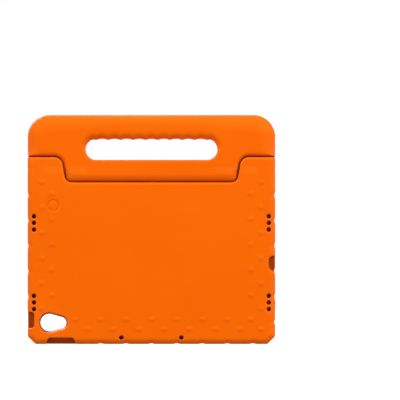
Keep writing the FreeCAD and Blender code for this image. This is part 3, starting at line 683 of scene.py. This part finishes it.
# ---------------------------------------------------------------- materials
class Nodes:
    """A material's node tree, with short calls for the nodes used here."""

    def __init__(self, name):
        self.material = bpy.data.materials.new(name)
        self.material.use_nodes = True
        self.tree = self.material.node_tree
        self.shader = self.tree.nodes["Principled BSDF"]
        self.place = self.tree.nodes.new("ShaderNodeTexCoord").outputs["Object"]

    def link(self, source, target):
        self.tree.links.new(source, target)

    def noise(self, per_metre, detail=2.0, stretch=None):
        node = self.tree.nodes.new("ShaderNodeTexNoise")
        node.inputs["Scale"].default_value = per_metre
        node.inputs["Detail"].default_value = detail
        if stretch is None:
            self.link(self.place, node.inputs["Vector"])
        else:
            scale = self.tree.nodes.new("ShaderNodeMapping")
            scale.inputs["Scale"].default_value = stretch
            self.link(self.place, scale.inputs["Vector"])
            self.link(scale.outputs["Vector"], node.inputs["Vector"])
        return node.outputs["Fac"]

    def cells(self, per_metre):
        node = self.tree.nodes.new("ShaderNodeTexVoronoi")
        node.inputs["Scale"].default_value = per_metre
        self.link(self.place, node.inputs["Vector"])
        return node.outputs["Distance"]

    def spread(self, source, from_low, from_high, to_low, to_high):
        node = self.tree.nodes.new("ShaderNodeMapRange")
        for socket, value in zip(("From Min", "From Max", "To Min", "To Max"),
                                 (from_low, from_high, to_low, to_high)):
            node.inputs[socket].default_value = value
        self.link(source, node.inputs["Value"])
        return node.outputs["Result"]

    def attribute(self, name):
        node = self.tree.nodes.new("ShaderNodeAttribute")
        node.attribute_name = name
        return node.outputs["Fac"]

    def mix(self, share, first, second):
        node = self.tree.nodes.new("ShaderNodeMix")
        node.data_type = "RGBA"
        self.link(share, node.inputs["Factor"])
        for socket, value in zip((6, 7), (first, second)):
            if isinstance(value, tuple):
                node.inputs[socket].default_value = (*value, 1)
            else:
                self.link(value, node.inputs[socket])
        return node.outputs[2]

    def bump(self, height, distance, strength, under=None):
        node = self.tree.nodes.new("ShaderNodeBump")
        node.inputs["Strength"].default_value = strength
        node.inputs["Distance"].default_value = distance
        self.link(height, node.inputs["Height"])
        if under is not None:
            self.link(under, node.inputs["Normal"])
        return node.outputs["Normal"]

    def finish(self, color, roughness, normal):
        self.link(color, self.shader.inputs["Base Color"])
        self.link(roughness, self.shader.inputs["Roughness"])
        self.link(normal, self.shader.inputs["Normal"])
        return self.material


def foam_material():
    """Moulded EVA foam: a matte skin with a fine pebble grain and a few open cells."""
    nodes = Nodes("orange_foam")
    drift = nodes.spread(nodes.noise(14, 3), 0.3, 0.7, 0, 1)
    color = nodes.mix(drift, (0.80, 0.112, 0.0002), (0.83, 0.122, 0.0004))
    speck = nodes.spread(nodes.noise(1300, 2), 0.62, 0.78, 0, 0.35)
    color = nodes.mix(speck, color, (0.86, 0.16, 0.004))
    # Lighter on the edges and darker in the hollows, by how sharply the skin bends
    bend = nodes.attribute("bend")
    lighter_edges = nodes.spread(bend, 0.05, 0.75, 0, 0.3)
    color = nodes.mix(lighter_edges, color, (0.86, 0.16, 0.012))
    hollow = nodes.spread(bend, -0.05, -0.8, 0, 0.5)
    color = nodes.mix(hollow, color, (0.60, 0.065, 0.0006))
    # Painted shade: the holes, notches, camera window, seam and collars darkened where light is
    # low
    color = nodes.mix(nodes.attribute("painted_shade_mark"), color, (0.16, 0.024, 0.0004))
    roughness = nodes.spread(nodes.noise(60, 3), 0.3, 0.7, 0.5, 0.62)
    pores = nodes.spread(nodes.cells(620), 0.0, 0.16, 0, 1)
    normal = nodes.bump(pores, 0.00005, 0.35)
    normal = nodes.bump(nodes.noise(1700, 3), 0.00006, 0.5, normal)
    normal = nodes.bump(nodes.noise(90, 2), 0.0002, 0.25, normal)
    nodes.shader.inputs["IOR"].default_value = 1.45
    nodes.shader.inputs["Specular IOR Level"].default_value = 0.42
    nodes.shader.inputs["Specular Tint"].default_value = (1.0, 0.45, 0.05, 1)
    return nodes.finish(color, roughness, normal)


def nylon_material():
    """Natural nylon, slightly cloudy, with turning marks."""
    nodes = Nodes("nylon")
    cloud = nodes.noise(180, 3)
    color = nodes.mix(cloud, (0.30, 0.28, 0.24), (0.38, 0.36, 0.31))
    lines = nodes.noise(500, 2, (6, 0.4, 0.4))
    roughness = nodes.spread(cloud, 0.3, 0.7, 0.32, 0.46)
    return nodes.finish(color, roughness, nodes.bump(lines, 0.00003, 0.4))


def anchor_material():
    """Black moulded plastic with a fine spark texture."""
    nodes = Nodes("anchor_plastic")
    cloud = nodes.noise(220, 3)
    color = nodes.mix(cloud, (0.035, 0.035, 0.038), (0.06, 0.06, 0.064))
    roughness = nodes.spread(cloud, 0.3, 0.7, 0.45, 0.6)
    return nodes.finish(color, roughness, nodes.bump(nodes.cells(2600), 0.00004, 0.4))


def steel_material():
    """Ground steel with marks that run round the pin."""
    nodes = Nodes("steel")
    lines = nodes.noise(900, 3, (8, 0.3, 0.3))
    color = nodes.mix(lines, (0.56, 0.56, 0.57), (0.66, 0.66, 0.67))
    roughness = nodes.spread(lines, 0.3, 0.7, 0.24, 0.38)
    nodes.shader.inputs["Metallic"].default_value = 1.0
    return nodes.finish(color, roughness, nodes.bump(lines, 0.00001, 0.5))


def rubber_material():
    """Black nitrile rubber with a dusty bloom."""
    nodes = Nodes("ring_rubber")
    bloom = nodes.noise(700, 3)
    color = nodes.mix(bloom, (0.018, 0.018, 0.019), (0.045, 0.045, 0.046))
    roughness = nodes.spread(bloom, 0.3, 0.7, 0.6, 0.8)
    return nodes.finish(color, roughness, nodes.bump(bloom, 0.00003, 0.4))


def dress(piece, material):
    """Give a piece one material in place of what it has."""
    if piece.data.materials:
        for index in range(len(piece.data.materials)):
            piece.material_slots[index].material = material
    else:
        piece.data.materials.append(material)


HARDWARE = {"ear_bush": nylon_material, "handle_anchor": anchor_material,
            "hinge_pin": steel_material, "friction_ring": rubber_material}


def dress_hardware():
    """Materials for the CAD pieces that stay."""
    for stem, make in HARDWARE.items():
        material = make()
        for side in ("left", "right"):
            dress(frame["nodes"][f"{stem}_{side}"], material)


# ---------------------------------------------------------------- stage, lights and camera
FRAME_WIDTH = 443.2 * MM
CAMERA_AWAY = 5.0
CAMERA_SPOT = (-53.9 * MM, 159.8 * MM)
CLIP_END = 50
SENSOR = 36

# The room's brightness from straight down (0) over the horizon (0.5) to straight up (1)
ROOM = ((0.0, 0.52), (0.4, 0.52), (0.45, 1.0), (0.53, 1.0), (0.62, 0.34), (1.0, 0.34))
ROOM_GLOW = 1.02

# Each soft light's name, place, size and power
LIGHTS = (("key_right", (-2.4, 1.6, 2.2), 1.2, 98),
          ("key_left", (2.4, 1.6, 2.2), 1.2, 76),
          ("overhead", (0.1, 0.3, 2.3), 1.5, 8),
          ("screen_side", (1.3, -2.4, 2.2), 1.2, 112))
LIGHT_AIM = (0, 0, 0.13)

FLOOR_RADIUS = 1.6
FLOOR_SIDES = 96
FLOOR_GLOW = 0.7


def floor_material():
    """Pale matte paper, lit from below like a light table."""
    nodes = Nodes("stage_paper")
    fibre = nodes.noise(260, 4)
    color = nodes.mix(fibre, (0.36, 0.36, 0.36), (0.40, 0.40, 0.40))
    roughness = nodes.spread(fibre, 0.3, 0.7, 0.75, 0.9)
    nodes.shader.inputs["Emission Color"].default_value = (1, 1, 1, 1)
    nodes.shader.inputs["Emission Strength"].default_value = FLOOR_GLOW
    return nodes.finish(color, roughness, nodes.bump(fibre, 0.00008, 0.2))


def make_floor():
    """A round pale floor under the case."""
    mesh = bpy.data.meshes.new("stage_floor")
    turns = [index * 2 * math.pi / FLOOR_SIDES for index in range(FLOOR_SIDES)]
    rim = [(FLOOR_RADIUS * math.cos(turn), FLOOR_RADIUS * math.sin(turn), 0) for turn in turns]
    mesh.from_pydata(rim, [], [tuple(range(FLOOR_SIDES))])
    floor = bpy.data.objects.new("stage_floor", mesh)
    bpy.context.scene.collection.objects.link(floor)
    mesh.materials.append(floor_material())
    floor.visible_diffuse = False
    floor.visible_glossy = False


def make_light(name, spot, size, watts):
    """A square soft light that looks at the middle of the case."""
    data = bpy.data.lights.new(name, "AREA")
    data.size = size
    data.energy = watts
    light = bpy.data.objects.new(name, data)
    bpy.context.scene.collection.objects.link(light)
    light.location = spot
    way = Vector(LIGHT_AIM) - Vector(spot)
    light.rotation_euler = way.to_track_quat("-Z", "Y").to_euler()


def make_room():
    """A white room: bright walls at eye level, a dimmer ceiling and a dim floor."""
    world = bpy.data.worlds.new("studio")
    bpy.context.scene.world = world
    world.use_nodes = True
    nodes, links = world.node_tree.nodes, world.node_tree.links
    way = nodes.new("ShaderNodeTexCoord")
    split = nodes.new("ShaderNodeSeparateXYZ")
    links.new(way.outputs["Generated"], split.inputs["Vector"])
    height = nodes.new("ShaderNodeMapRange")
    height.inputs["From Min"].default_value = -1
    links.new(split.outputs["Z"], height.inputs["Value"])
    ramp = nodes.new("ShaderNodeValToRGB")
    stops = ramp.color_ramp.elements
    for place, _ in ROOM[2:]:
        stops.new(place)
    for stop, (place, level) in zip(stops, ROOM):
        stop.position = place
        stop.color = (level, level, level, 1)
    links.new(height.outputs["Result"], ramp.inputs["Fac"])
    links.new(ramp.outputs["Color"], nodes["Background"].inputs["Color"])
    nodes["Background"].inputs["Strength"].default_value = ROOM_GLOW


def make_camera():
    """A long lens square to the camera side of the case."""
    data = bpy.data.cameras.new("camera")
    data.sensor_width = SENSOR
    data.lens = data.sensor_width * CAMERA_AWAY / FRAME_WIDTH
    data.clip_end = CLIP_END
    camera = bpy.data.objects.new("camera", data)
    bpy.context.scene.collection.objects.link(camera)
    camera.location = (CAMERA_SPOT[0], CAMERA_AWAY + BACK * MM, CAMERA_SPOT[1])
    camera.rotation_euler = (math.pi / 2, 0, math.pi)
    bpy.context.scene.camera = camera
    bpy.context.scene.view_settings.view_transform = "Standard"


make_camera()
make_room()
for light in LIGHTS:
    make_light(*light)
make_floor()
foam = foam_material()
for moulding in (make_case(), make_handle()):
    dress(moulding, foam)
dress_hardware()
